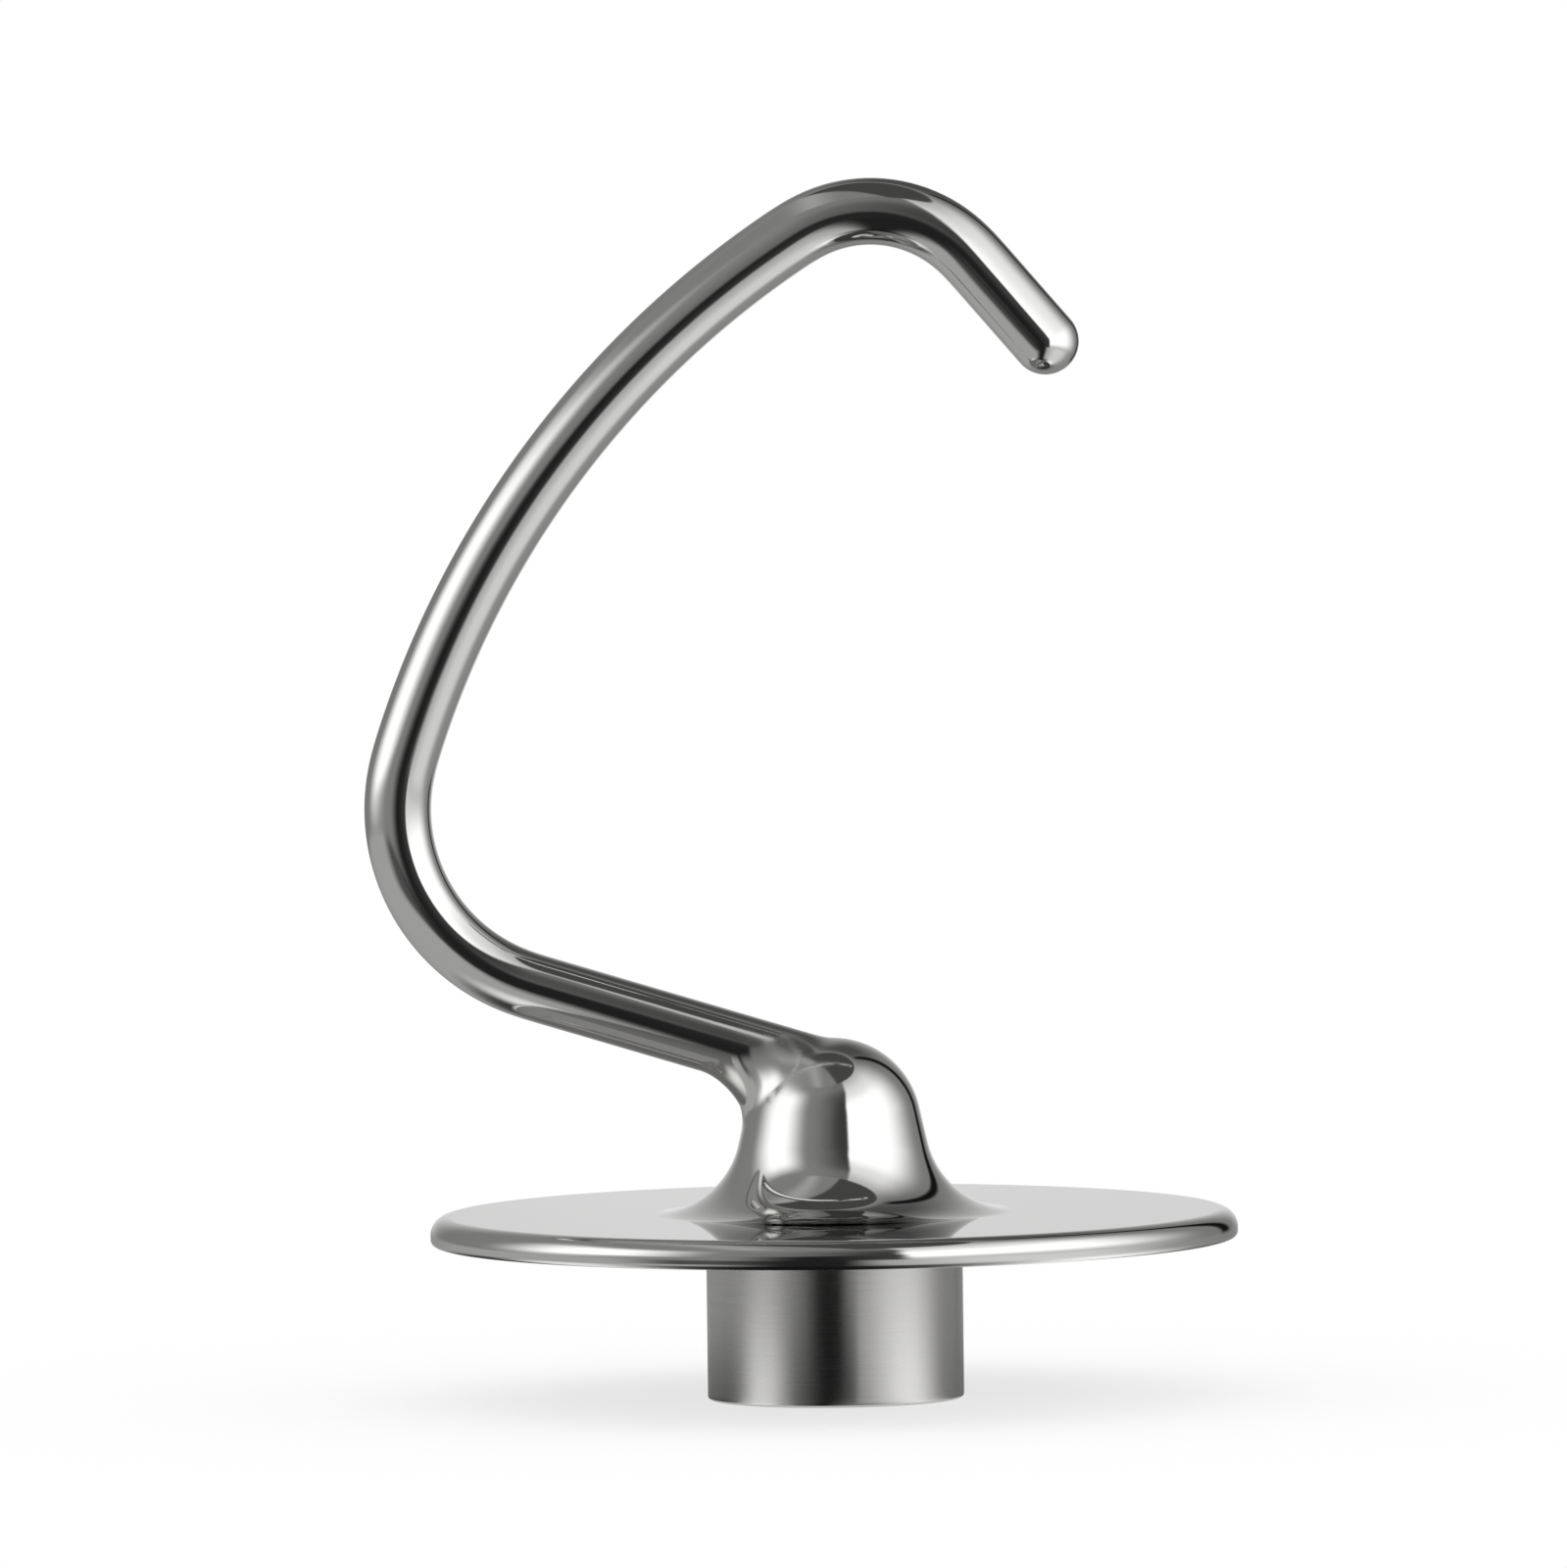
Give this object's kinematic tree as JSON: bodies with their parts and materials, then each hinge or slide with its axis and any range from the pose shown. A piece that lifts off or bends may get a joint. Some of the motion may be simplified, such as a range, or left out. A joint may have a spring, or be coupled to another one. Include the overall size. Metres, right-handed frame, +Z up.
{
  "type": "stand mixer dough hook",
  "caption": "Stainless steel dough hook: a curved round arm rising from a boss and round shield, with a turned collar that locks onto a stand mixer's drive shaft.",
  "frame": {"origin": "centre of the collar's mouth face, on the drive axis", "axes": "+Z up the drive axis from the collar towards the arm, -X the way the arm leaves the boss, Y across the hook"},
  "size_m": [0.1097, 0.102, 0.1542],
  "materials": {
    "steel": "polished"
  },
  "bodies": {
    "root": {"dough_hook": "steel"}
  },
  "joints": []
}
